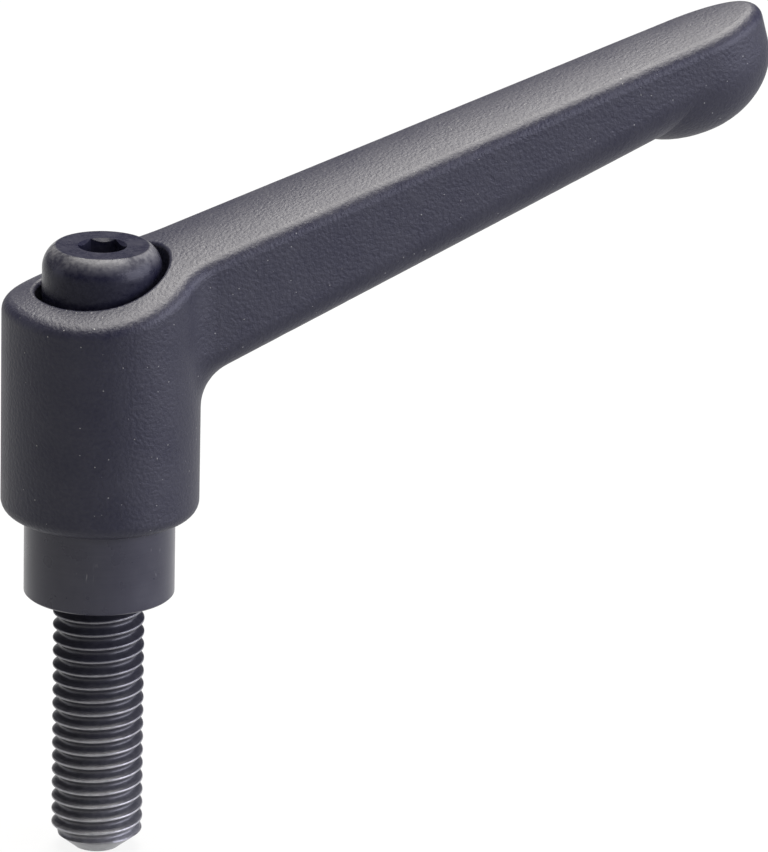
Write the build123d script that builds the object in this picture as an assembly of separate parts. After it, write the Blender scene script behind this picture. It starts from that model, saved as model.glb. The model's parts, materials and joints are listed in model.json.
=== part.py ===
"""Adjustable clamping lever with a fixed threaded stud.

The stud is screwed into a serrated steel bush. A cast lever sits over the bush: its inner teeth
take hold of the bush at rest. Pulled up against the return spring, it comes off the teeth, turns
freely to another tooth and drops back. A retaining screw in the bush carries the spring.

Frame: origin at the centre of the bush's lower face, which seats on the clamped work.
+Z runs up along the stud's axis, and the arm points along +X. Millimetres.
"""
import os
from math import asin, cos, degrees, hypot, pi, radians, sin

from build123d import *

# ---- Thread and stud -------------------------------------------------------------------------
THREAD_D = 10.0            # metric coarse thread on the stud
THREAD_PITCH = 1.5
STUD_OUT = 29.05           # stud below the bush
STUD_IN = 10.0             # stud screwed into the bush
STUD_TIP_D = 5.0           # where the stud's end chamfer stops and its low dome begins
STUD_CHAMFER = 2.0
STUD_DOME = 0.25

# ---- Serrated bush ---------------------------------------------------------------------------
COLLAR_D = 16.0
COLLAR_H = 9.0
COLLAR_EDGE = 0.15
SEAT_W = 1.1               # ring of the collar's top that the hub stands on
TOOTH_COUNT = 24
TOOTH_H = 0.7
TOOTH_LEN = 4.3            # length over which bush and lever hold each other
TOOTH_TIP_SHARE = 0.30     # share of one pitch that is a tooth's flat tip
TOOTH_ROOT_SHARE = 0.30    # share of one pitch that is the flat root
NECK_STEP = 0.3            # from the tooth roots in to the neck that guides the lifted lever
NECK_H = 6.7
NECK_EDGE = 0.4
BUSH_FLOOR = 2.0           # solid metal between the two tapped holes
MOUTH_EDGE = 0.4           # how far the countersunk mouth stands clear of the stud's thread

# ---- Retaining screw -------------------------------------------------------------------------
HEAD_D = 12.6
HEAD_H = 6.0
HEAD_FLAT_D = 10.0         # flat on the head, inside its rounded shoulder
HEAD_ROUND_H = 2.4
SHANK_D = 6.8
SCREW_THREAD_D = 6.0
SCREW_THREAD_PITCH = 1.0
SOCKET_AF = 4.5            # across the flats of the hexagon socket
SOCKET_DEPTH = 3.2
SOCKET_CHAMFER = 0.35
SOCKET_TURN = -26.0        # degrees

# ---- Return spring ---------------------------------------------------------------------------
WIRE_D = 0.9
SPRING_INSET = 0.4         # inside the head's rim
ACTIVE_TURNS = 2.0         # between one closed turn at each end
GROUND_SHARE = 0.3         # share of the wire's diameter that is ground off at each end
SPRING_SPARE = 0.4         # travel left before the turns touch, with the lever lifted

# ---- Lever -----------------------------------------------------------------------------------
ARM_LENGTH = 78.0          # from the stud's axis to the tip
LIFT_SPARE = 0.5           # travel past the place where the teeth come free
HUB_D = 21.0
HUB_TOP = 35.4             # sloping top, where it crosses the axis
HUB_FOOT_R = 1.5
ARM_SLOPE = 15.9           # degrees
ARM_HALF_ROOT = 7.1        # half of the arm's width at the axis
ARM_HALF_TIP = 5.3
ARM_DEPTH_ROOT = 13.95     # from top to underside, at the axis, square to the slope
ARM_DEPTH_TIP = 9.4        # the same at the tip's centre
ARM_UNDER_R = 2.8          # rounding of the lower edges at the axis, which grows to the tip
CROWN_R = 26.0             # radius of the top across the arm
TOP_EDGE_R = 1.5
HUB_BLEND_R = 5.5
TIP_ROUND = 9.2            # length of the drop-shaped end beyond its widest place
DROP_BACK = 10.8           # and back towards the hub
DROP_SWEEP = 60.0          # degrees of the ellipse that the drop's back follows, into the arm
TIP_DEPTH = 11.9           # of the drop-shaped end, square to the slope
TIP_EQUATOR = 4.5          # below the top, where the drop is widest
HEAD_GAP = 0.7             # round the screw's head, in the counterbore
WEB_T = 3.0                # floor between counterbore and bush, which carries the spring
RIM_R = 0.4                # soft edge of the counterbore
LEAD_IN = 0.25             # chamfer where the bush enters

# ---- Clearances ------------------------------------------------------------------------------
RUNNING = 0.06             # radial, neck in lever and shank in web
TOOTH_GAP = 0.06           # radial, at tooth tips and roots, and on the flanks
TOOTH_END_GAP = 0.2        # above the bush's teeth
WEB_GAP = 0.3              # under the web, so that the lever rests on the collar

# ---- Worked out ------------------------------------------------------------------------------
PITCH_LINE = 0.6495        # a screw and its tapped hole meet this share of a pitch inside the thread
STUD_SEAT_R = (THREAD_D - PITCH_LINE * THREAD_PITCH) / 2
SCREW_SEAT_R = (SCREW_THREAD_D - PITCH_LINE * SCREW_THREAD_PITCH) / 2
TOOTH_TIP_D = COLLAR_D - 2 * SEAT_W
TOOTH_ROOT_D = TOOTH_TIP_D - 2 * TOOTH_H
NECK_D = TOOTH_ROOT_D - 2 * NECK_STEP
TEETH_TOP = COLLAR_H + TOOTH_LEN
BUSH_TOP = TEETH_TOP + NECK_H
SCREW_THREAD_LEN = BUSH_TOP - STUD_IN - BUSH_FLOOR
WEB_TOP = BUSH_TOP + WEB_GAP + WEB_T
LIFT = TOOTH_LEN + TOOTH_END_GAP + LIFT_SPARE
SPRING_REST = LIFT + SPRING_SPARE + (ACTIVE_TURNS + 2) * WIRE_D
SPRING_OD = HEAD_D - 2 * SPRING_INSET
HEAD_BASE = WEB_TOP + SPRING_REST
HEAD_TOP = HEAD_BASE + HEAD_H
COUNTERBORE_D = HEAD_D + 2 * HEAD_GAP
REACH = HUB_D              # how far a joining or cutting solid runs past the sloping top
UP = (Align.CENTER, Align.CENTER, Align.MIN)
DOWN = (Align.CENTER, Align.CENTER, Align.MAX)


def turned(*lines):
    """Solid of revolution about Z, from lines that close an outline in (radius, height)."""
    return revolve(Plane.XZ * make_face(lines), Axis.Z)


def tooth_ring(tip_d, root_d, gap, bottom, height):
    """Toothed bar: TOOTH_COUNT straight-flanked teeth, grown outwards by gap all round."""
    pitch = 2 * pi / TOOTH_COUNT
    tip_r = tip_d / 2 + gap
    root_r = root_d / 2 + gap
    spread = 2 * gap / (tip_r + root_r)
    tip_half = pitch * TOOTH_TIP_SHARE / 2 + spread
    root_half = pitch * (1 - TOOTH_ROOT_SHARE) / 2 + spread
    corners = []
    for tooth in range(TOOTH_COUNT):
        middle = tooth * pitch
        for radius, angle in (
            (root_r, middle - root_half),
            (tip_r, middle - tip_half),
            (tip_r, middle + tip_half),
            (root_r, middle + root_half),
        ):
            corners.append((radius * cos(angle), radius * sin(angle)))
    section = make_face(Polyline(*corners, close=True))
    return Pos(0, 0, bottom) * extrude(section, height)


def threaded_stud():
    """Stud with a chamfered, domed lower end. It fills the bush's tapped hole."""
    radius = THREAD_D / 2
    tip_r = STUD_TIP_D / 2
    shoulder = STUD_DOME - STUD_OUT
    dome_r = (tip_r ** 2 + STUD_DOME ** 2) / (2 * STUD_DOME)
    half_angle = degrees(asin(tip_r / dome_r))
    dome = CenterArc((0, dome_r - STUD_OUT), dome_r, -90, half_angle)
    side = Polyline(
        dome @ 1,
        (radius, shoulder + STUD_CHAMFER),
        (radius, 0),
        (STUD_SEAT_R, 0),
        (STUD_SEAT_R, STUD_IN),
        (0, STUD_IN),
        dome @ 0,
    )
    return turned(dome, side)


def serrated_bush():
    """Collar, teeth and neck in one turned piece, tapped from both ends."""
    collar_r = COLLAR_D / 2
    body = Cylinder(collar_r, COLLAR_H, align=UP)
    body = chamfer(body.edges().filter_by(GeomType.CIRCLE), COLLAR_EDGE)
    body += tooth_ring(TOOTH_TIP_D, TOOTH_ROOT_D, 0, COLLAR_H, TOOTH_LEN)
    body += Pos(0, 0, TEETH_TOP) * Cylinder(NECK_D / 2, NECK_H, align=UP)
    body = chamfer(body.edges().group_by(Axis.Z)[-1], NECK_EDGE)
    body -= Cylinder(STUD_SEAT_R, STUD_IN, align=UP)
    mouth_r = THREAD_D / 2 + MOUTH_EDGE
    body -= Cone(mouth_r, STUD_SEAT_R, mouth_r - STUD_SEAT_R, align=UP)
    hole = Cylinder(SCREW_SEAT_R, SCREW_THREAD_LEN, align=DOWN)
    return body - Pos(0, 0, BUSH_TOP) * hole


def retaining_screw():
    """Cap screw with a rounded shoulder, a smooth shank for the spring and a shorter thread."""
    flat = (HEAD_FLAT_D / 2, HEAD_TOP)
    wall_top = (HEAD_D / 2, HEAD_TOP - HEAD_ROUND_H)
    thread_end = BUSH_TOP - SCREW_THREAD_LEN
    side = Polyline(
        wall_top,
        (HEAD_D / 2, HEAD_BASE),
        (SHANK_D / 2, HEAD_BASE),
        (SHANK_D / 2, BUSH_TOP),
        (SCREW_SEAT_R, BUSH_TOP),
        (SCREW_SEAT_R, thread_end),
        (0, thread_end),
        (0, HEAD_TOP),
        flat,
    )
    screw = turned(side, TangentArc(wall_top, flat, tangent=(0, 1)))
    hexagon = RegularPolygon(SOCKET_AF / 2, 6, major_radius=False)
    socket_floor = HEAD_TOP - SOCKET_DEPTH
    screw -= Pos(0, 0, socket_floor) * Rot(0, 0, SOCKET_TURN) * extrude(hexagon, SOCKET_DEPTH)
    corner_r = SOCKET_AF / 2 / cos(pi / 6)
    lead_in = Cone(corner_r - SOCKET_CHAMFER, corner_r, SOCKET_CHAMFER, align=DOWN)
    return screw - Pos(0, 0, HEAD_TOP) * lead_in


def return_spring():
    """Round-wire compression spring between the web and the head, closed and ground at both ends."""
    mean_r = (SPRING_OD - WIRE_D) / 2
    trim = WIRE_D * GROUND_SHARE
    rise = SPRING_REST - WIRE_D + 2 * trim
    closed = WIRE_D
    active = (rise - 2 * closed) / ACTIVE_TURNS
    start = WEB_TOP + WIRE_D / 2 - trim
    path = Helix(closed, closed, mean_r)
    path += Pos(0, 0, closed) * Helix(active, rise - 2 * closed, mean_r)
    path += Pos(0, 0, rise - closed) * Helix(closed, closed, mean_r)
    wire = Plane(path @ 0, z_dir=path % 0) * Circle(WIRE_D / 2)
    coil = Pos(0, 0, start) * sweep(wire, path, transition=Transition.ROUND)
    spare = Box(2 * SPRING_OD, 2 * SPRING_OD, WIRE_D, align=UP)
    coil -= Pos(0, 0, HEAD_BASE) * spare
    return coil - Pos(0, 0, WEB_TOP - WIRE_D) * spare


def arm_frame():
    """Plane of the sloping top: X along the arm, Z out of the top, origin on the axis."""
    slope = radians(ARM_SLOPE)
    return Plane((0, 0, HUB_TOP), x_dir=(cos(slope), 0, sin(slope)), z_dir=(-sin(slope), 0, cos(slope)))


def arm_section(half, depth, under_r):
    """Cross-section of the arm: upright sides from above the top down to a rounded underside."""
    section = Pos(0, (REACH - depth) / 2) * Rectangle(2 * half, REACH + depth)
    return fillet(section.vertices().group_by(Axis.Y)[0], under_r)


def arm_beam(tip_centre):
    """Tapered arm in its own frame, lofted from the hub's axis to where the tip takes over.

    The sides are tangent to the ellipse of the tip, so they end just past its centre.
    """
    taper = (ARM_HALF_ROOT - ARM_HALF_TIP) / tip_centre
    half_tip = hypot(ARM_HALF_TIP, TIP_ROUND * taper)
    touch = TIP_ROUND ** 2 * taper / half_tip
    root = arm_section(half_tip + taper * tip_centre, ARM_DEPTH_ROOT, ARM_UNDER_R)
    end = arm_section(half_tip - taper * touch, ARM_DEPTH_TIP, ARM_DEPTH_TIP - TIP_EQUATOR)
    return loft([Plane.YZ * root, Plane.YZ.offset(tip_centre + touch) * end], ruled=True)


def arm_tip():
    """Drop-shaped end, about its widest place, under an upright wall.

    In front it is a quarter of an ellipsoid. Behind, the cross-section at the widest place slides
    back and up along an ellipse, so that the drop swells evenly out of the arm's underside.
    """
    depth = TIP_DEPTH - TIP_EQUATOR
    plan = EllipticalCenterArc((0, 0), TIP_ROUND, ARM_HALF_TIP, 0, arc_size=90)
    nose = revolve(make_face([plan, Polyline(plan @ 1, (0, 0), plan @ 0)]), Axis.X, -180)
    nose = scale(nose, by=(1, 1, depth / ARM_HALF_TIP))
    nose += extrude(nose.faces().sort_by(Axis.Z)[-1], REACH)
    bottom = EllipticalCenterArc((0, 0), ARM_HALF_TIP, depth, 180, arc_size=180)
    walls = Polyline(bottom @ 1, (ARM_HALF_TIP, REACH), (-ARM_HALF_TIP, REACH), bottom @ 0)
    climb = EllipticalCenterArc((0, 0), DROP_BACK, depth, 270, arc_size=-DROP_SWEEP)
    section = Plane.YZ * make_face([bottom, walls])
    return nose + sweep(section, Plane.XZ * climb, normal=(1, 0, 0))


def crown_form():
    """Everything under the sloping top, which is rounded across the arm, in the arm's frame."""
    side = HUB_D * 0.6
    sag = CROWN_R - (CROWN_R ** 2 - side ** 2) ** 0.5
    arc = ThreePointArc((-side, -sag), (0, 0), (side, -sag))
    sides = Polyline(arc @ 1, (side, -2 * REACH), (-side, -2 * REACH), arc @ 0)
    return extrude(Plane.YZ * make_face([arc, sides]), 2 * ARM_LENGTH, both=True)


def lever_handle():
    """Cast hub and arm in one piece, with teeth, guide bore, web and counterbore."""
    slope = radians(ARM_SLOPE)
    frame = arm_frame()
    drop_reach = hypot(TIP_ROUND * cos(slope), (TIP_DEPTH - TIP_EQUATOR) * sin(slope))
    tip_centre = (ARM_LENGTH - TIP_EQUATOR * sin(slope) - drop_reach) / cos(slope)
    hub = Rot(0, 0, 180) * Cylinder(HUB_D / 2, HUB_TOP + REACH - COLLAR_H, align=UP)
    hub = fillet(hub.edges().group_by(Axis.Z)[0], HUB_FOOT_R)
    body = Pos(0, 0, COLLAR_H) * hub + frame * arm_beam(tip_centre)
    body = fillet([edge for edge in body.edges() if on_hub_wall(edge)], HUB_BLEND_R)
    body += frame * Pos(tip_centre, 0, -TIP_EQUATOR) * arm_tip()
    body &= frame * crown_form()
    crown = max(body.faces(), key=lambda face: face.normal_at(face.center()).Z * face.area)
    body = fillet(crown.edges(), TOP_EDGE_R)
    body -= Pos(0, 0, WEB_TOP) * Cylinder(COUNTERBORE_D / 2, REACH, align=UP)
    body = fillet([edge for edge in body.edges() if on_rim(edge)], RIM_R)
    return body - lever_bore()


def lever_bore():
    """What the bush and the screw's shank take out of the lever, from below."""
    guide_r = NECK_D / 2 + RUNNING
    guide_h = BUSH_TOP + WEB_GAP - COLLAR_H
    entry_r = TOOTH_TIP_D / 2 + TOOTH_GAP
    bore = Pos(0, 0, COLLAR_H) * Cylinder(guide_r, guide_h, align=UP)
    bore += tooth_ring(TOOTH_TIP_D, TOOTH_ROOT_D, TOOTH_GAP, COLLAR_H, TOOTH_LEN + TOOTH_END_GAP)
    bore += Pos(0, 0, COLLAR_H) * Cone(entry_r + LEAD_IN, entry_r, LEAD_IN, align=UP)
    bore += Pos(0, 0, COLLAR_H) * Cylinder(SHANK_D / 2 + RUNNING, WEB_TOP, align=UP)
    return bore


def on_circle(edge, radius):
    """True where an edge lies on the upright cylinder of this radius about the axis."""
    points = [edge @ share for share in (0.1, 0.5, 0.9)]
    return all(abs(hypot(point.X, point.Y) - radius) < 0.01 for point in points)


def on_rim(edge):
    """True for the counterbore's upper rim."""
    return on_circle(edge, COUNTERBORE_D / 2) and (edge @ 0).Z > WEB_TOP + WEB_T


def on_hub_wall(edge):
    """True where the arm runs into the hub: on the hub's wall, and not along its rims or seam."""
    forward = (edge @ 0.5).X > 0
    return forward and on_circle(edge, HUB_D / 2) and edge.geom_type != GeomType.CIRCLE


PIECES = {
    "lever_handle": lever_handle,
    "serrated_bush": serrated_bush,
    "threaded_stud": threaded_stud,
    "retaining_screw": retaining_screw,
    "return_spring": return_spring,
}

os.makedirs("parts", exist_ok=True)
for name, build in PIECES.items():
    export_step(build(), os.path.join("parts", name + ".step"))
    print(name, "written")
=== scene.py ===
# %% [markdown]
# # An adjustable clamping lever, part by part
#
# The real thing is a small machine part: a cast lever on a serrated steel bush, with a threaded
# stud below and a screw on top. The solid model of it is already measured and packed, so this
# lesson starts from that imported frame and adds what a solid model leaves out: a real thread, a
# spring that closes up, coatings, lamps and a camera. Everything is in metres, in the frame's own
# axes: the stud's axis is Z, the lever's arm points along X, and the collar stands on Z = 0.

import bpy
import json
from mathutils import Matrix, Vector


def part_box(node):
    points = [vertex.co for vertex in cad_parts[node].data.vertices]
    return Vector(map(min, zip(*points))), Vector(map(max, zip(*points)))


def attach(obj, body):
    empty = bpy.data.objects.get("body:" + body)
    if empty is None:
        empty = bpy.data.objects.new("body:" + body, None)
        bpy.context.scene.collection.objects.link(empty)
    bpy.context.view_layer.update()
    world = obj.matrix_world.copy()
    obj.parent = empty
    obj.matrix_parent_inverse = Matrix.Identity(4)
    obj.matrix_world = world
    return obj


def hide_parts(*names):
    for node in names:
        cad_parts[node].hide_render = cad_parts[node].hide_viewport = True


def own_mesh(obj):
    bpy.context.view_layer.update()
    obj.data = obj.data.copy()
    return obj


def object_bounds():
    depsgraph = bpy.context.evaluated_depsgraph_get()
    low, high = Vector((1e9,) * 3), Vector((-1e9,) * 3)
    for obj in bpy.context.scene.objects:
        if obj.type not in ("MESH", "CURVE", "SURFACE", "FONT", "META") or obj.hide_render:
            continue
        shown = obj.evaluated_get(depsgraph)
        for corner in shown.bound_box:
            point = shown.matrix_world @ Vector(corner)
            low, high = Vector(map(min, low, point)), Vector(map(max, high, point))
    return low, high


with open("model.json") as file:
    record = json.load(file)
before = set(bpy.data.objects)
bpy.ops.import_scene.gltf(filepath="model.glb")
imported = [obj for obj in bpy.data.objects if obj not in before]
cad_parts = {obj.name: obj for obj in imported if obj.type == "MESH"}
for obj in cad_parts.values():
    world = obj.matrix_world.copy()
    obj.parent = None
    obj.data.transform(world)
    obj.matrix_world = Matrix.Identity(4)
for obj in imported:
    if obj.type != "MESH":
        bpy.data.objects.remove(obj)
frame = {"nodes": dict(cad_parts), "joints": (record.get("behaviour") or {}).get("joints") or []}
cad_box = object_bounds()
print("nodes:", sorted(frame["nodes"]))
print("size in mm:", [round(1000 * (high - low), 2) for low, high in zip(*cad_box)])

# %% Bring in Blender and the few maths helpers
import json
import math

import bmesh
import bpy
from mathutils import Matrix, Vector

MM = 0.001
scene = bpy.context.scene
print("working in Blender", bpy.app.version_string)

# %% [markdown]
# ## The camera
#
# A long lens from under a metre away draws the part almost without perspective, as a catalogue
# picture does. A camera with no perspective at all would be simpler to set, but it would draw the
# arm's far end a little too large beside the hub. The camera's direction is given as two angles
# and a slight roll, and the aim is given in the camera's own right and up directions, measured
# from the frame's origin, so the picture can be recomposed without touching the angles.

# %% Work out the camera's three directions
CAMERA_AZIMUTH = math.radians(-26)
CAMERA_ELEVATION = math.radians(18.95)
CAMERA_ROLL = 0.0228

forward = Vector(
    (
        -math.sin(CAMERA_AZIMUTH) * math.cos(CAMERA_ELEVATION),
        math.cos(CAMERA_AZIMUTH) * math.cos(CAMERA_ELEVATION),
        -math.sin(CAMERA_ELEVATION),
    )
)
level_right = Vector((math.cos(CAMERA_AZIMUTH), math.sin(CAMERA_AZIMUTH), 0))
level_up = level_right.cross(forward)
camera_right = math.cos(CAMERA_ROLL) * level_right + math.sin(CAMERA_ROLL) * level_up
camera_up = math.cos(CAMERA_ROLL) * level_up - math.sin(CAMERA_ROLL) * level_right
print("looking along", [round(x, 3) for x in forward])

# %% Place the camera
LENS_MM = 318.8
CAMERA_BACK = 799.3 * MM
AIM_RIGHT = 30.19 * MM
AIM_UP = 17.37 * MM
NEAREST_SEEN = 10 * MM
FURTHEST_SEEN = 50.0

camera_data = bpy.data.cameras.new("camera")
camera_data.lens = LENS_MM
camera_data.clip_start = NEAREST_SEEN
camera_data.clip_end = FURTHEST_SEEN
camera = bpy.data.objects.new("camera", camera_data)
scene.collection.objects.link(camera)
camera.rotation_mode = "QUATERNION"
camera.location = AIM_RIGHT * camera_right + AIM_UP * camera_up - CAMERA_BACK * forward


def turn_to(right, up):
    """Rotation whose X, Y and Z axes are right, up and the way back to the viewer."""
    axes = (right, up, right.cross(up))
    return Matrix([[axis[row] for axis in axes] for row in range(3)]).to_quaternion()


camera.rotation_quaternion = turn_to(camera_right, camera_up)
scene.camera = camera
print("camera at", [round(x, 4) for x in camera.location])

# %% [markdown]
# ## Writing a finish as an expression
#
# A finish is a tree of nodes. It could be wired node by node, but a tree is easier to read as a
# formula. One small class holds a socket; plus, minus and the other signs add Math nodes, and one
# method adds any other node. A few short helpers then name what every finish needs.

# %% The wire class
class Wire:
    """An output socket of a node tree. Arithmetic on it adds Math nodes."""

    def __init__(self, tree, socket=None):
        self.tree = tree
        self.socket = socket

    def node(self, kind, settings=None, sockets=None, out=0):
        """Adds a node: first its settings, then the values or links of its sockets."""
        made = self.tree.nodes.new(kind)
        for name, value in (settings or {}).items():
            if name == "stops":
                set_stops(made.color_ramp, value)
            else:
                setattr(made, name, value)
        for name, value in (sockets or {}).items():
            if isinstance(value, Wire):
                self.tree.links.new(value.socket, made.inputs[name])
            else:
                made.inputs[name].default_value = value
        return Wire(self.tree, made.outputs[out] if made.outputs else None)

    def math(self, operation, *values):
        """Adds a Math node for an operation that has no sign of its own."""
        return self.node("ShaderNodeMath", {"operation": operation}, dict(enumerate(values)))

    def __add__(self, other):
        return self.math("ADD", self, other)

    def __sub__(self, other):
        return self.math("SUBTRACT", self, other)

    def __rsub__(self, other):
        return self.math("SUBTRACT", other, self)

    def __mul__(self, other):
        return self.math("MULTIPLY", self, other)

    def __gt__(self, other):
        return self.math("GREATER_THAN", self, other)

    def __lt__(self, other):
        return self.math("LESS_THAN", self, other)

    __radd__ = __add__
    __rmul__ = __mul__


def set_stops(ramp, stops):
    """Puts the given (place, grey) stops on a colour ramp."""
    while len(ramp.elements) < len(stops):
        ramp.elements.new(0.5)
    for element, (place, grey) in zip(ramp.elements, stops):
        element.position = place
        element.color = (grey, grey, grey, 1)


print("a wire knows the signs + - * > and <")

# %% Start a finish, plug wires into it, and say how large it is
def new_finish(name):
    """A material, its bare Principled shader, and the place of each point on the piece."""
    material = bpy.data.materials.new(name)
    material.use_nodes = True
    shader = material.node_tree.nodes["Principled BSDF"]
    return material, shader, Wire(material.node_tree).node("ShaderNodeTexCoord", out="Object")


def plug(wire, shader, socket_name):
    """Links a wire into one of the shader's sockets."""
    wire.tree.links.new(wire.socket, shader.inputs[socket_name])


def tell(material):
    """Says how large a finish has become."""
    print(material.name, "is made of", len(material.node_tree.nodes), "nodes")


# %% Noise, and a ramp over it
NOISE_LOW = 0.3
NOISE_HIGH = 0.7


def stretched(place, scale, rotation=(0.0, 0.0, 0.0)):
    """Places that are turned and stretched, for patterns that aren't the same each way."""
    sockets = {"Vector": place, "Scale": scale, "Rotation": rotation}
    return place.node("ShaderNodeMapping", {}, sockets)


def noise(place, scale, detail):
    """Random values round a half, so many to the metre; detail lays finer ones over them.

    Nearly all of them lie between NOISE_LOW and NOISE_HIGH.
    """
    sockets = {"Vector": place, "Scale": scale, "Detail": detail}
    return place.node("ShaderNodeTexNoise", {}, sockets)


def above(value, start, end):
    """0 below the start, 1 above the end, through a colour ramp."""
    return value.node("ShaderNodeValToRGB", {"stops": [(start, 0), (end, 1)]}, {"Fac": value})


def fade(value, start, end, low=0.0, high=1.0):
    """Runs from low to high as the value goes from start to end, and stays there beyond."""
    ends = {"From Min": start, "From Max": end, "To Min": low, "To Max": high}
    return value.node("ShaderNodeMapRange", {}, {"Value": value, **ends})


print("noise lies mostly between", NOISE_LOW, "and", NOISE_HIGH)

# %% Mix two colours, raise a bump, and measure from the stud's axis
MIX_SHARE, MIX_FIRST, MIX_SECOND, MIX_RESULT = 0, 6, 7, 2


def mix_colours(share, first, second):
    """Colour between two colours, at a share that a wire gives."""
    sockets = {MIX_SHARE: share, MIX_FIRST: first, MIX_SECOND: second}
    return share.node("ShaderNodeMix", {"data_type": "RGBA"}, sockets, out=MIX_RESULT)


def bump(height, strength, depth):
    """Shades a surface as if it stood up by a height, 1 being the whole depth."""
    sockets = {"Strength": strength, "Distance": depth, "Height": height}
    return height.node("ShaderNodeBump", {}, sockets)


def from_stud_axis(place):
    """Distance of each point from the Z axis, round which the turned pieces are made."""
    across = stretched(place, (1.0, 1.0, 0.0))
    return place.node(
        "ShaderNodeVectorMath", {"operation": "LENGTH"}, {"Vector": across}, out="Value"
    )


# %% [markdown]
# ## The lever's coat
#
# The lever is zinc, cast and then coated with black plastic powder. The powder melts into a skin
# with a fine grain, like very fine leather, and here and there a grain stands out and glints. The
# grain could be modelled, but at a third of a millimetre it belongs in the surface: noise for the
# grain, a coarser noise so that it isn't even, and small spots for the glints. The glints are
# painted highlights: the spots are light grey in the colour, besides being glossier and raised.

# %% Powder coat: grain and painted glints
COAT_SPECULAR = 0.30
GRAIN_PER_M = 2600
PATCHES_PER_M = 260
SPOTS_PER_M = 1500
GLINT_SIZE = 0.11
DULL_SHARE = 0.86

coat, coat_shader, place = new_finish("powder_coat")
coat_shader.inputs["Specular IOR Level"].default_value = COAT_SPECULAR
grain = noise(place, GRAIN_PER_M, detail=2.0)
patches = noise(place, PATCHES_PER_M, detail=3.0)
spots = {"Vector": place, "Scale": SPOTS_PER_M}
spot_distance = place.node("ShaderNodeTexVoronoi", {}, spots)
spot_colour = place.node("ShaderNodeTexVoronoi", {}, spots, out="Color")
spot_chance = place.node("ShaderNodeSeparateColor", {}, {"Color": spot_colour})
# Spots where a grain stands up and is glossier, with a highlight painted into their colour.
grain_spot_and_painted_glint = (spot_distance < GLINT_SIZE) * (spot_chance > DULL_SHARE)
print("powder coat grain of", round(1000 / GRAIN_PER_M, 2), "mm")

# %% Powder coat: colour, gloss and height
COAT_DARK = (0.004, 0.004, 0.014, 1)
COAT_LIGHT = (0.014, 0.014, 0.023, 1)
# Painted highlight: the light grey put into the colour of the glinting spots.
PAINTED_GLINT = (0.13, 0.13, 0.13, 1)
COAT_ROUGHNESS = 0.37
PATCH_ROUGHNESS = 0.12
GRAIN_ROUGHNESS = 0.10
GLINT_POLISH = 0.15
GLINT_HEIGHT = 0.2
COAT_BUMP = 1.0
COAT_DEPTH = 0.075 * MM

coat_tone = fade(grain * 0.5 + patches * 0.5, NOISE_LOW, NOISE_HIGH)
coat_colour = mix_colours(coat_tone, COAT_DARK, COAT_LIGHT)
coat_roughness = COAT_ROUGHNESS + patches * PATCH_ROUGHNESS + grain * GRAIN_ROUGHNESS
# The glints' painted highlight goes into the base colour here.
plug(mix_colours(grain_spot_and_painted_glint, coat_colour, PAINTED_GLINT), coat_shader, "Base Color")
plug(coat_roughness - grain_spot_and_painted_glint * GLINT_POLISH, coat_shader, "Roughness")
plug(bump(grain + grain_spot_and_painted_glint * GLINT_HEIGHT, COAT_BUMP, COAT_DEPTH), coat_shader, "Normal")
tell(coat)

# %% [markdown]
# ## Black oxide on turned steel
#
# The bush, the stud and the screw are steel, turned or rolled and then blackened in a hot bath.
# The bath leaves the tool marks as they are, so the collar keeps fine rings round its axis, and
# handling leaves hair scratches. The marks could be cut into the mesh, but they are a hundredth
# of a millimetre deep, so noise stretched one way gives the rings and the hairs, and a second
# noise keeps the hairs to the places where fingers and tools have been.

# %% Blackened bush: rings, clouds and hair scratches
OXIDE_SPECULAR = 0.28
RINGS_PER_M = (30, 30, 4000)
CLOUDS_PER_M = 350
HAIRS_PER_M = (2600, 2600, 700)
HAIR_LEAN = (0.25, 0.15, 0.0)
HAIRS_SHOW = (0.70, 0.76)
HANDLED_PER_M = 170
HANDLED_SHOWS = (0.50, 0.62)

oxide, oxide_shader, place = new_finish("blackened_bush")
oxide_shader.inputs["Specular IOR Level"].default_value = OXIDE_SPECULAR
rings = noise(stretched(place, RINGS_PER_M), 1.0, detail=2.0)
clouds = noise(place, CLOUDS_PER_M, detail=4.0)
hairs = noise(stretched(place, HAIRS_PER_M, HAIR_LEAN), 1.0, detail=1.0)
handled = noise(place, HANDLED_PER_M, detail=1.0)
scratch = above(hairs, *HAIRS_SHOW) * above(handled, *HANDLED_SHOWS)
print("a tool ring about every", 1000 / RINGS_PER_M[2], "mm")

# %% Blackened bush: colour, gloss and height
OXIDE_DARK = (0.011, 0.011, 0.021, 1)
OXIDE_LIGHT = (0.036, 0.036, 0.046, 1)
SCRATCH = (0.14, 0.14, 0.145, 1)
SCRATCH_SHARE = 0.45
CLOUD_SHARE = 0.7
CLOUD_HEIGHT = 0.5
OXIDE_ROUGHNESS = 0.22
CLOUD_ROUGHNESS = 0.14
OXIDE_BUMP = 0.3
OXIDE_DEPTH = 0.01 * MM

oxide_tone = clouds * CLOUD_SHARE + rings * (1 - CLOUD_SHARE)
oxide_colour = mix_colours(oxide_tone, OXIDE_DARK, OXIDE_LIGHT)
oxide_height = rings + clouds * CLOUD_HEIGHT - scratch
plug(mix_colours(scratch * SCRATCH_SHARE, oxide_colour, SCRATCH), oxide_shader, "Base Color")
plug(OXIDE_ROUGHNESS + clouds * CLOUD_ROUGHNESS, oxide_shader, "Roughness")
plug(bump(oxide_height, OXIDE_BUMP, OXIDE_DEPTH), oxide_shader, "Normal")
tell(oxide)

# %% [markdown]
# ## The satin screw
#
# The screw is blackened too, but its head was tumbled before the bath, so it is satin: broad,
# faint clouds instead of rings. The edge of its flat top is worn a little brighter by rubbing, and
# its colour there is lighter still as a painted highlight on the head's rounded edge. That edge
# could be painted by hand; the distance from the axis finds it instead, and noise breaks it up.

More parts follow.
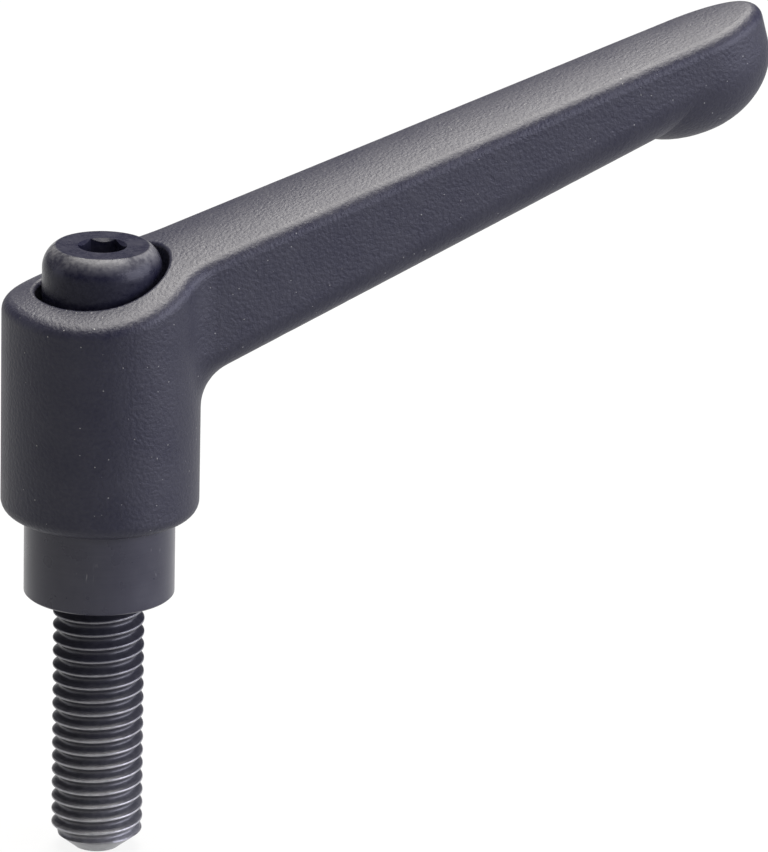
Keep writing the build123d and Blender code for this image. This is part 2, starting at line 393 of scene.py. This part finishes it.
# %% Satin screw: the head's rubbed rim, with its painted highlight
SATIN_SPECULAR = 0.13
SATIN_FINE_PER_M = 2200
SATIN_BROAD_PER_M = 420
HEAD_FLAT_R = 5.0 * MM
RUB_AND_HIGHLIGHT_SPREAD = (0.35, 0.65)
LEAST_RUB_AND_HIGHLIGHT = 0.2

_, screw_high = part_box("retaining_screw")
HEAD_R = screw_high.x
RUB_AND_HIGHLIGHT_STARTS = (HEAD_FLAT_R - 0.15 * MM, HEAD_FLAT_R + 0.05 * MM)
RUB_AND_HIGHLIGHT_FADES = (HEAD_R - 0.10 * MM, HEAD_FLAT_R + 0.20 * MM)
satin, satin_shader, place = new_finish("satin_screw")
satin_shader.inputs["Specular IOR Level"].default_value = SATIN_SPECULAR
fine = noise(place, SATIN_FINE_PER_M, detail=3.0)
broad = noise(place, SATIN_BROAD_PER_M, detail=3.0)
mottle = fine * 0.5 + broad * 0.5
radius = from_stud_axis(place)
# The ring round the head's flat top that is worn and also painted lighter as a highlight.
rim = fade(radius, *RUB_AND_HIGHLIGHT_STARTS) * fade(radius, *RUB_AND_HIGHLIGHT_FADES)
rubbed_and_painted_highlight = rim * fade(mottle, *RUB_AND_HIGHLIGHT_SPREAD, low=LEAST_RUB_AND_HIGHLIGHT)
print("screw head radius", round(1000 * HEAD_R, 2), "mm")

# %% Satin screw: colour, gloss and height
SATIN_DARK = (0.003, 0.003, 0.010, 1)
SATIN_LIGHT = (0.015, 0.015, 0.024, 1)
# Colour of rubbed steel, made lighter as a painted highlight on the head's edge.
RUBBED_AND_PAINTED_HIGHLIGHT = (0.10, 0.10, 0.105, 1)
SATIN_ROUGHNESS = 0.16
BROAD_ROUGHNESS = 0.14
FINE_ROUGHNESS = 0.10
SATIN_BUMP = 0.6
SATIN_DEPTH = 0.05 * MM

satin_colour = mix_colours(fade(mottle, NOISE_LOW, NOISE_HIGH), SATIN_DARK, SATIN_LIGHT)
satin_roughness = SATIN_ROUGHNESS + broad * BROAD_ROUGHNESS + fine * FINE_ROUGHNESS
plug(mix_colours(rubbed_and_painted_highlight, satin_colour, RUBBED_AND_PAINTED_HIGHLIGHT), satin_shader, "Base Color")
plug(satin_roughness, satin_shader, "Roughness")
plug(bump(fine + broad, SATIN_BUMP, SATIN_DEPTH), satin_shader, "Normal")
tell(satin)

# %% [markdown]
# ## The worn thread
#
# The stud's thread is rolled and then blackened. The crests and the tip are what everything
# touches, so the black has come off them and bare steel shines through. Towards the collar the
# bare steel thins out as painted shade, for the shade that the collar and the hub cast on the
# upper turns. The wear could be painted on, turn by turn. Here the distance from the stud's axis
# tells a crest from a groove and the height tells how near the tip is, so the wear and the painted
# shade follow the thread.

# %% Stud and thread sizes
# The depths of a metric thread are fixed shares of its pitch.
PITCH = 1.5 * MM
CREST_UNDERSIZE = 0.13 * MM
ROOT_DEPTH = 0.6134 * PITCH
PITCH_LINE_DEPTH = 0.6495 * PITCH / 2
TIP_R = 2.5 * MM
DOME_H = 0.25 * MM
CHAMFER_H = 2.0 * MM

stud_low, stud_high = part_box("threaded_stud")
STUD_R = stud_high.x
CREST_R = STUD_R - CREST_UNDERSIZE
ROOT_R = STUD_R - ROOT_DEPTH
PITCH_R = STUD_R - PITCH_LINE_DEPTH
print("stud from", round(1000 * stud_low.z, 2), "to", round(1000 * stud_high.z, 2), "mm")

# %% Worn thread: how much steel is bare, with painted shade near the collar
THREAD_SPECULAR = 0.35
THREAD_NOISE_PER_M = 1500
CREST_FADE = 0.10 * MM
WEAR_IN_PAINTED_COLLAR_SHADE = 0.30
# Each kind of wear: how much is even, and how much comes in specks.
CREST_WEAR = (0.40, 1.1)
OVERALL_WEAR = (0.06, 0.22)
TIP_WEAR = (0.30, 0.7)

thread_finish, thread_shader, place = new_finish("rolled_thread")
thread_shader.inputs["Specular IOR Level"].default_value = THREAD_SPECULAR
height = place.node("ShaderNodeSeparateXYZ", {}, {"Vector": place}, out="Z")
fine = noise(place, THREAD_NOISE_PER_M, detail=3.0)
crest = fade(from_stud_axis(place), CREST_R - CREST_FADE, CREST_R)
# Painted shade: the bare steel thins out towards the collar, where the collar and the hub shade
# the upper turns.
wear_and_painted_collar_shade = fade(height, 0.0, stud_low.z, WEAR_IN_PAINTED_COLLAR_SHADE, 1.0)
tip = fade(height, stud_low.z + 2 * CHAMFER_H, stud_low.z + CHAMFER_H / 2)
wear_and_painted_shade = tip * (TIP_WEAR[0] + fine * TIP_WEAR[1])
# Both kinds of wear are dimmed near the collar by the painted shade.
kinds = ((crest * wear_and_painted_collar_shade, CREST_WEAR), (wear_and_painted_collar_shade * wear_and_painted_collar_shade * wear_and_painted_collar_shade, OVERALL_WEAR))
for reach, (even, specks) in kinds:
    wear_and_painted_shade = place.math("MAXIMUM", wear_and_painted_shade, reach * (even + fine * specks))
wear_and_painted_shade = place.math("MINIMUM", wear_and_painted_shade, 1.0)
print("bare steel begins at radius", round(1000 * (CREST_R - CREST_FADE), 2), "mm")

# %% Worn thread: colour, metal, gloss and height
BLACK_GROOVE = (0.007, 0.007, 0.013, 1)
GREY_GROOVE = (0.024, 0.024, 0.030, 1)
BARE_STEEL = (0.36, 0.36, 0.37, 1)
METAL_SHARE = 0.8
THREAD_ROUGHNESS = 0.28
THREAD_NOISE_ROUGHNESS = 0.16
THREAD_BUMP = 0.5
THREAD_BUMP_DEPTH = 0.02 * MM

groove = mix_colours(fine, BLACK_GROOVE, GREY_GROOVE)
# Less bare steel near the collar darkens the colour there as painted shade.
plug(mix_colours(wear_and_painted_shade, groove, BARE_STEEL), thread_shader, "Base Color")
plug(wear_and_painted_shade * METAL_SHARE, thread_shader, "Metallic")
plug(THREAD_ROUGHNESS + fine * THREAD_NOISE_ROUGHNESS, thread_shader, "Roughness")
plug(bump(fine, THREAD_BUMP, THREAD_BUMP_DEPTH), thread_shader, "Normal")
tell(thread_finish)

# %% [markdown]
# ## The spring's wire
#
# The spring is wound from bright drawn wire and is left uncoated. It stays inside the hub at
# every position of the lever and shows only when the parts are taken apart, so plain bare metal
# with a little noise in its colour and gloss is enough. Drawing marks along the wire would need
# the coil's own coordinates.

# %% Drawn spring wire
WIRE_NOISE_PER_M = 1200
WIRE_DARK = (0.35, 0.35, 0.36, 1)
WIRE_LIGHT = (0.60, 0.60, 0.60, 1)
WIRE_ROUGHNESS = 0.30
WIRE_NOISE_ROUGHNESS = 0.15

wire_finish, wire_shader, place = new_finish("drawn_wire")
wire_shader.inputs["Metallic"].default_value = 1.0
fine = noise(place, WIRE_NOISE_PER_M, detail=3.0)
plug(mix_colours(fine, WIRE_DARK, WIRE_LIGHT), wire_shader, "Base Color")
plug(WIRE_ROUGHNESS + fine * WIRE_NOISE_ROUGHNESS, wire_shader, "Roughness")
tell(wire_finish)

# %% [markdown]
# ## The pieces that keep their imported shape
#
# The lever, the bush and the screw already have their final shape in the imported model, down to
# the teeth and the socket. Modelling them again could only move them, so they just get a finish.

# %% Put the finishes on
for node, finish in (("lever_handle", coat), ("serrated_bush", oxide), ("retaining_screw", satin)):
    piece = frame["nodes"][node]
    piece.data.materials.clear()
    piece.data.materials.append(finish)
    print(node, "has", len(piece.data.polygons), "faces")

# %% [markdown]
# ## The stud's thread
#
# A rolled M10 thread rises one pitch, 1.5 mm, with each turn. A screw modifier could wind a
# profile, but its two ends stay open and don't run out over the chamfer. Here each column of
# points steps up the helix, so the crests are clean lines; points past either end are pulled back
# onto it and merged, and the chamfer trims the crests as it does on the real stud.

# %% One turn's profile: (share of the pitch from the crest's middle, radius)
CREST_SHARE = 0.36
CREST_ROUNDING = ((0.7, 0.015 * MM), (1.25, 0.07 * MM))
FLANK_POINTS = ((0.5, 0.48), (0.86, 0.16), (1.12, 0.03))

crest_drop = CREST_R - ROOT_R
flank = crest_drop / math.sqrt(3) / PITCH
crest_half = (1 - 2 * flank) * CREST_SHARE / 2
profile_half = [(0.0, CREST_R)]
profile_half += [(crest_half * out, CREST_R - drop) for out, drop in CREST_ROUNDING]
profile_half += [
    (crest_half + flank * down, ROOT_R + left * crest_drop) for down, left in FLANK_POINTS
]
profile = profile_half + [(0.5, ROOT_R)]
profile += [(1 - share, radius) for share, radius in reversed(profile_half[1:])]
print(len(profile), "points to a turn")


# %% Trim the thread with the stud's end
def stud_envelope(z):
    """Radius of the plain stud at a height: straight, then the chamfer."""
    chamfer_top = stud_low.z + DOME_H + CHAMFER_H
    if z >= chamfer_top:
        return STUD_R
    return STUD_R - (chamfer_top - z) / CHAMFER_H * (STUD_R - TIP_R)


def thread_radius(share):
    """Radius of the thread at a share of the pitch, from the profile's straight runs."""
    share %= 1
    ends = profile + [(1.0, CREST_R)]
    for (share_a, radius_a), (share_b, radius_b) in zip(ends, ends[1:]):
        if share <= share_b:
            return radius_a + (radius_b - radius_a) * (share - share_a) / (share_b - share_a)


tip_radius = stud_envelope(stud_low.z + DOME_H)
print("the chamfer ends at a radius of", round(1000 * tip_radius, 2), "mm")

# %% Wind the thread
THREAD_COLUMNS = 144
THREAD_START = math.radians(281)
THREAD_END_Z = stud_low.z + DOME_H
TURNS = math.ceil(-THREAD_END_Z / PITCH) + 1


def column_of_points(column):
    """Points of one column from the bottom up; those past an end are pulled back onto it."""
    share_round = column / THREAD_COLUMNS
    angle = 2 * math.pi * share_round + THREAD_START
    points = []
    for turn in range(-1, TURNS):
        for share, _ in profile:
            z = THREAD_END_Z + (turn + share + share_round) * PITCH
            z = min(max(z, THREAD_END_Z), 0.0)
            phase = (z - THREAD_END_Z) / PITCH - share_round
            radius = min(thread_radius(phase), stud_envelope(z))
            points.append((radius * math.cos(angle), radius * math.sin(angle), z))
    return points


print(TURNS, "turns of thread reach the collar")


# %% Helpers that close an end
LEVEL_WITHIN = 0.001 * MM


def rim_at(mesh, z):
    """Open rim at a height, in order round the axis."""
    open_edges = [edge for edge in mesh.edges if edge.is_boundary]
    rim = {v for edge in open_edges for v in edge.verts if abs(v.co.z - z) < LEVEL_WITHIN}
    return sorted(rim, key=lambda v: math.atan2(v.co.y, v.co.x))


def close_end(mesh, rim, rings):
    """Carries a rim of points on through rings of (radius, height), and closes the last one."""
    for radius, z in rings:
        ring = [mesh.verts.new((0, 0, 0)) for _ in rim]
        for old, new in zip(rim, ring):
            flat = Vector((old.co.x, old.co.y)).normalized() * radius
            new.co = (flat.x, flat.y, z)
        for a, b, c, d in zip(rim, rim[1:] + rim[:1], ring[1:] + ring[:1], ring):
            mesh.faces.new((a, b, c, d))
        rim = ring
    mesh.faces.new(rim)


print("a rim is level to within", 1000 * LEVEL_WITHIN, "mm")

# %% Build the thread's mesh
MERGE_WITHIN = 0.0005 * MM
TOO_SHORT = 0.0001 * MM

thread_mesh = bmesh.new()
columns = [[thread_mesh.verts.new(p) for p in column_of_points(c)] for c in range(THREAD_COLUMNS)]
# The last column meets the first one a whole pitch higher up.
neighbours = columns[1:] + [columns[0][len(profile):]]
for here, beside in zip(columns, neighbours):
    for row in range(min(len(here), len(beside)) - 1):
        thread_mesh.faces.new((here[row], beside[row], beside[row + 1], here[row + 1]))
bmesh.ops.remove_doubles(thread_mesh, verts=thread_mesh.verts, dist=MERGE_WITHIN)
bmesh.ops.dissolve_degenerate(thread_mesh, edges=thread_mesh.edges, dist=TOO_SHORT)
loose = [v for v in thread_mesh.verts if not v.link_faces]
bmesh.ops.delete(thread_mesh, geom=loose, context="VERTS")
print("thread has", len(thread_mesh.faces), "faces")

# %% Close the tip with a low dome and the top with the part screwed into the bush
DOME_STEPS = 10
SEAT_CONE_H = 0.3 * MM

dome_rings = [
    (TIP_R * math.cos(t), THREAD_END_Z - DOME_H * math.sin(t))
    for t in (math.pi / 2 * step / DOME_STEPS for step in range(1, DOME_STEPS))
]
close_end(thread_mesh, rim_at(thread_mesh, THREAD_END_Z), dome_rings)
seat_rings = [(PITCH_R, SEAT_CONE_H), (PITCH_R, stud_high.z)]
close_end(thread_mesh, rim_at(thread_mesh, 0.0), seat_rings)
bmesh.ops.recalc_face_normals(thread_mesh, faces=thread_mesh.faces)
print("open edges:", sum(not edge.is_manifold for edge in thread_mesh.edges))

# %% Turn a mesh in the making into a piece
SHARP_ANGLE = math.radians(50)


def make_piece(mesh, name, finish, body, node):
    """A smooth-shaded piece that rides on a body and stands for a CAD node."""
    data = bpy.data.meshes.new(name)
    mesh.to_mesh(data)
    mesh.free()
    data.materials.append(finish)
    data.polygons.foreach_set("use_smooth", [True] * len(data.polygons))
    data.set_sharp_from_angle(angle=SHARP_ANGLE)
    piece = bpy.data.objects.new(name, data)
    scene.collection.objects.link(piece)
    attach(piece, body)
    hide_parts(node)
    print(name, "has", len(data.polygons), "faces")
    return piece


make_piece(
    thread_mesh, "stud_thread", thread_finish, "stud_assembly", "threaded_stud"
)

# %% [markdown]
# ## The return spring
#
# The spring sits out of sight under the screw's head and presses the lever onto the teeth. Its
# end turns lie close and are ground flat. A curve with a round bevel would wind it with less
# work, but its ends can't be ground. So it is wound here as its own mesh, hoop by hoop.

# %% Spring sizes
WIRE_R = 0.45 * MM
GROUND_SHARE = 0.4
COIL_TURNS = 4
CLOSED_RISE = 2 * WIRE_R

spring_low, spring_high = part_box("return_spring")
COIL_R = spring_high.x - WIRE_R
coil_bottom = spring_low.z + GROUND_SHARE * WIRE_R
coil_top = spring_high.z - GROUND_SHARE * WIRE_R


def coil_height(turn):
    """Height of the wire's centre at a number of turns: close, open, open, close."""
    rise = coil_top - coil_bottom
    open_rise = (rise - 2 * CLOSED_RISE) / (COIL_TURNS - 2)
    if turn < 1:
        return coil_bottom + CLOSED_RISE * turn
    if turn > COIL_TURNS - 1:
        return coil_top - CLOSED_RISE * (COIL_TURNS - turn)
    return coil_bottom + CLOSED_RISE + open_rise * (turn - 1)


print("an open turn rises", round(1000 * (coil_height(2) - coil_height(1)), 2), "mm")

# %% Build the spring's mesh
STEPS_A_TURN = 48
WIRE_SIDES = 14

spring_mesh = bmesh.new()
hoops = []
for step in range(COIL_TURNS * STEPS_A_TURN + 1):
    turn = step / STEPS_A_TURN
    outward = Vector((math.cos(2 * math.pi * turn), math.sin(2 * math.pi * turn), 0))
    centre = COIL_R * outward + Vector((0, 0, coil_height(turn)))
    hoop = []
    for side in range(WIRE_SIDES):
        a = 2 * math.pi * side / WIRE_SIDES
        point = centre + WIRE_R * (math.cos(a) * outward + Vector((0, 0, math.sin(a))))
        point.z = min(max(point.z, spring_low.z), spring_high.z)
        hoop.append(spring_mesh.verts.new(point))
    hoops.append(hoop)
for first, second in zip(hoops, hoops[1:]):
    for a, b, c, d in zip(first, first[1:] + first[:1], second[1:] + second[:1], second):
        spring_mesh.faces.new((a, b, c, d))
spring_mesh.faces.new(hoops[0])
spring_mesh.faces.new(hoops[-1])
bmesh.ops.recalc_face_normals(spring_mesh, faces=spring_mesh.faces)
coil = make_piece(
    spring_mesh, "coil_spring", wire_finish, "spring_carrier", "return_spring"
)

# %% Read the lever's lift, and give the spring a mesh of its own
lift = next(joint for joint in frame["joints"] if joint["name"] == "lift")
travel = lift["range_m"][1]
free_height = spring_high.z - spring_low.z
(free_height - travel) / free_height
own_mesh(coil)
print("spring closes from", round(1000 * free_height, 2), "by", 1000 * travel, "mm")

# %% [markdown]
# ## The floor
#
# A plain pale floor stands under the stud's tip. A backdrop curving up behind would need a shape
# of its own; a wide flat floor that shows nearly white does the same. What the camera and the
# gloss see of it is mostly plain white, with enough of the lit floor left in to keep the shadow.
# The light that it throws back on the part is that of a middling grey, so the sides stay dark.

# %% Lay the floor
FLOOR_HALF = 3.0
floor_z = cad_box[0].z
corners = [(-FLOOR_HALF, -FLOOR_HALF), (FLOOR_HALF, -FLOOR_HALF)]
corners += [(FLOOR_HALF, FLOOR_HALF), (-FLOOR_HALF, FLOOR_HALF)]
floor_mesh = bpy.data.meshes.new("floor")
floor_mesh.from_pydata([(x, y, floor_z) for x, y in corners], [], [(0, 1, 2, 3)])
floor = bpy.data.objects.new("floor", floor_mesh)
scene.collection.objects.link(floor)
print("floor at", round(1000 * floor_z, 2), "mm")

# %% Finish the floor
FLOOR_GREY = (0.4, 0.4, 0.4, 1)
WHITE = (1, 1, 1, 1)
FLOOR_WHITE_SHARE = 0.9


def seen_directly(w):
    """1 for rays from the camera, and for those that gloss or glass sends on; otherwise 0."""
    seen = w.node("ShaderNodeLightPath", out="Is Camera Ray")
    for sent_on in ("Is Glossy Ray", "Is Transmission Ray"):
        seen = w.math("MAXIMUM", seen, w.node("ShaderNodeLightPath", out=sent_on))
    return seen


floor_finish = bpy.data.materials.new("pale_floor")
floor_finish.use_nodes = True
floor_finish.node_tree.nodes.clear()
w = Wire(floor_finish.node_tree)
share = seen_directly(w) * FLOOR_WHITE_SHARE
lit = w.node("ShaderNodeBsdfDiffuse", {}, {"Color": FLOOR_GREY})
white = w.node("ShaderNodeEmission", {}, {"Color": WHITE, "Strength": 1.0})
both = w.node("ShaderNodeMixShader", {}, {0: share, 1: lit, 2: white})
w.node("ShaderNodeOutputMaterial", {}, {"Surface": both})
floor_mesh.materials.append(floor_finish)
tell(floor_finish)

# %% [markdown]
# ## Lamps and surroundings
#
# In a studio such a part stands among large soft lamps, so that a black coat shows its shape by
# what its faces mirror. One large lamp overhead would be simpler, but the arm's top would then be
# one even tone. So two faintly warm lamps light the tops: one stands high behind the part, and
# its reflection slides along the arm; one hangs above for the rounded rims. Three cooler ones
# light the sides, from the front right, the right and the left. The world is a dim, cool and even
# surrounding. On faces that look up, the lamps give about four times a plain level, which a coat
# written this dark needs to look as light on top as it does in a studio.

# %% The surroundings
WARM = (1.0, 0.97, 0.91)
COOL = (0.84, 0.84, 1.0)
AMBIENT = 0.12

world = bpy.data.worlds.new("surroundings")
world.use_nodes = True
world.node_tree.nodes.clear()
w = Wire(world.node_tree)
air = w.node("ShaderNodeBackground", {}, {"Color": (*COOL, 1), "Strength": AMBIENT})
w.node("ShaderNodeOutputWorld", {}, {"Surface": air})
scene.world = world
tell(world)

# %% The lamps
LAMPS = (
    # name, right, back and up from the part's middle in metres, size in metres, watts, colour
    ("lamp_behind", 0.0, 0.50, 0.75, 0.50, 11.5, WARM),
    ("lamp_above", 0.0, 0.0, 0.85, 0.75, 22, WARM),
    ("lamp_front", 0.85, -0.42, 0.20, 0.70, 14, COOL),
    ("lamp_right", 0.90, 0.10, 0.25, 0.50, 4.5, COOL),
    ("lamp_left", -0.90, 0.0, 0.10, 0.40, 1.0, COOL),
)
part_middle = (cad_box[0] + cad_box[1]) / 2
away = Vector((forward.x, forward.y, 0)).normalized()


def soft_lamp(name, right, back, up, size, watts, colour):
    """A square lamp, placed from the part's middle in the camera's level directions."""
    data = bpy.data.lights.new(name, "AREA")
    data.size = size
    data.energy = watts
    data.color = colour
    lamp = bpy.data.objects.new(name, data)
    scene.collection.objects.link(lamp)
    lamp.location = part_middle + right * level_right + back * away + Vector((0, 0, up))
    lamp.rotation_mode = "QUATERNION"
    lamp.rotation_quaternion = (part_middle - lamp.location).to_track_quat("-Z", "Y")


for lamp_facts in LAMPS:
    soft_lamp(*lamp_facts)
print("lamps:", ", ".join(facts[0] for facts in LAMPS))

# %% [markdown]
# ## Finish
#
# The picture keeps plain standard colour.

# %% Keep standard colour
scene.view_settings.view_transform = "Standard"
